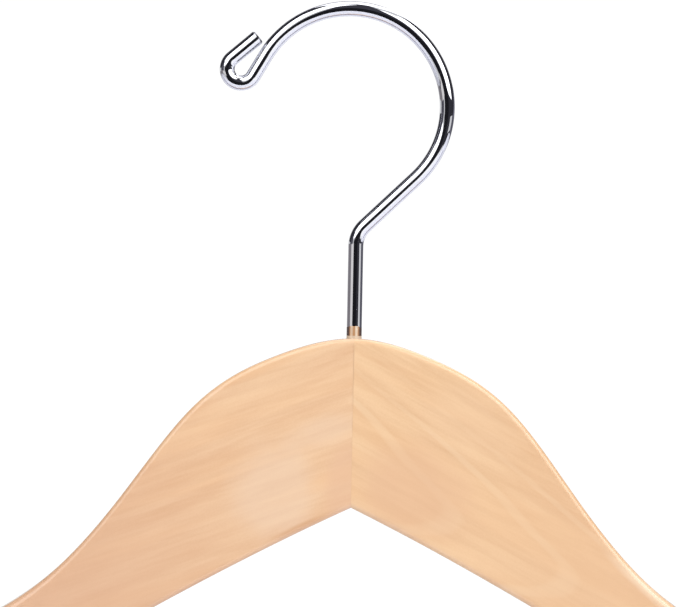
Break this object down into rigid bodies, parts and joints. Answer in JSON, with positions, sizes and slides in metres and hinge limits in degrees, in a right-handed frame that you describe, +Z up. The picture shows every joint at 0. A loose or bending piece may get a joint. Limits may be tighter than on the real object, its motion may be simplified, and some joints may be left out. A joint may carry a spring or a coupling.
{
  "type": "clothes hanger",
  "caption": "Flat wooden clothes hanger with sloping shoulders, a strap notch near each end and a round swivelling wire hook with a curled tip.",
  "frame": {"origin": "the rod seat: the point inside the crown of the hook that hangs on a rail, straight above the stem", "axes": "+X along the hanger to the shoulder away from the hook's tip, +Y from the front face to the back face, +Z up along the stem"},
  "size_m": [0.445, 0.012, 0.2351],
  "materials": {
    "lacquered_wood": "pale straight-grained wood under clear gloss lacquer",
    "polished_chrome": "bright chrome plate on steel wire",
    "sleeve_brass": "turned brass",
    "washer_steel": "zinc-plated steel",
    "dowel_wood": "bare hardwood"
  },
  "bodies": {
    "hook": {"swivel_hook": "polished_chrome"},
    "shoulders": {"left_arm": "lacquered_wood", "right_arm": "lacquered_wood", "hook_sleeve": "sleeve_brass", "retaining_washer": "washer_steel", "upper_dowel": "dowel_wood", "lower_dowel": "dowel_wood"}
  },
  "joints": [
    {"name": "hook_swivel", "type": "hinge", "parent": "hook", "child": "shoulders", "pos_m": [0, 0, -0.08038], "axis": [0, 0, 1], "continuous": true}
  ]
}
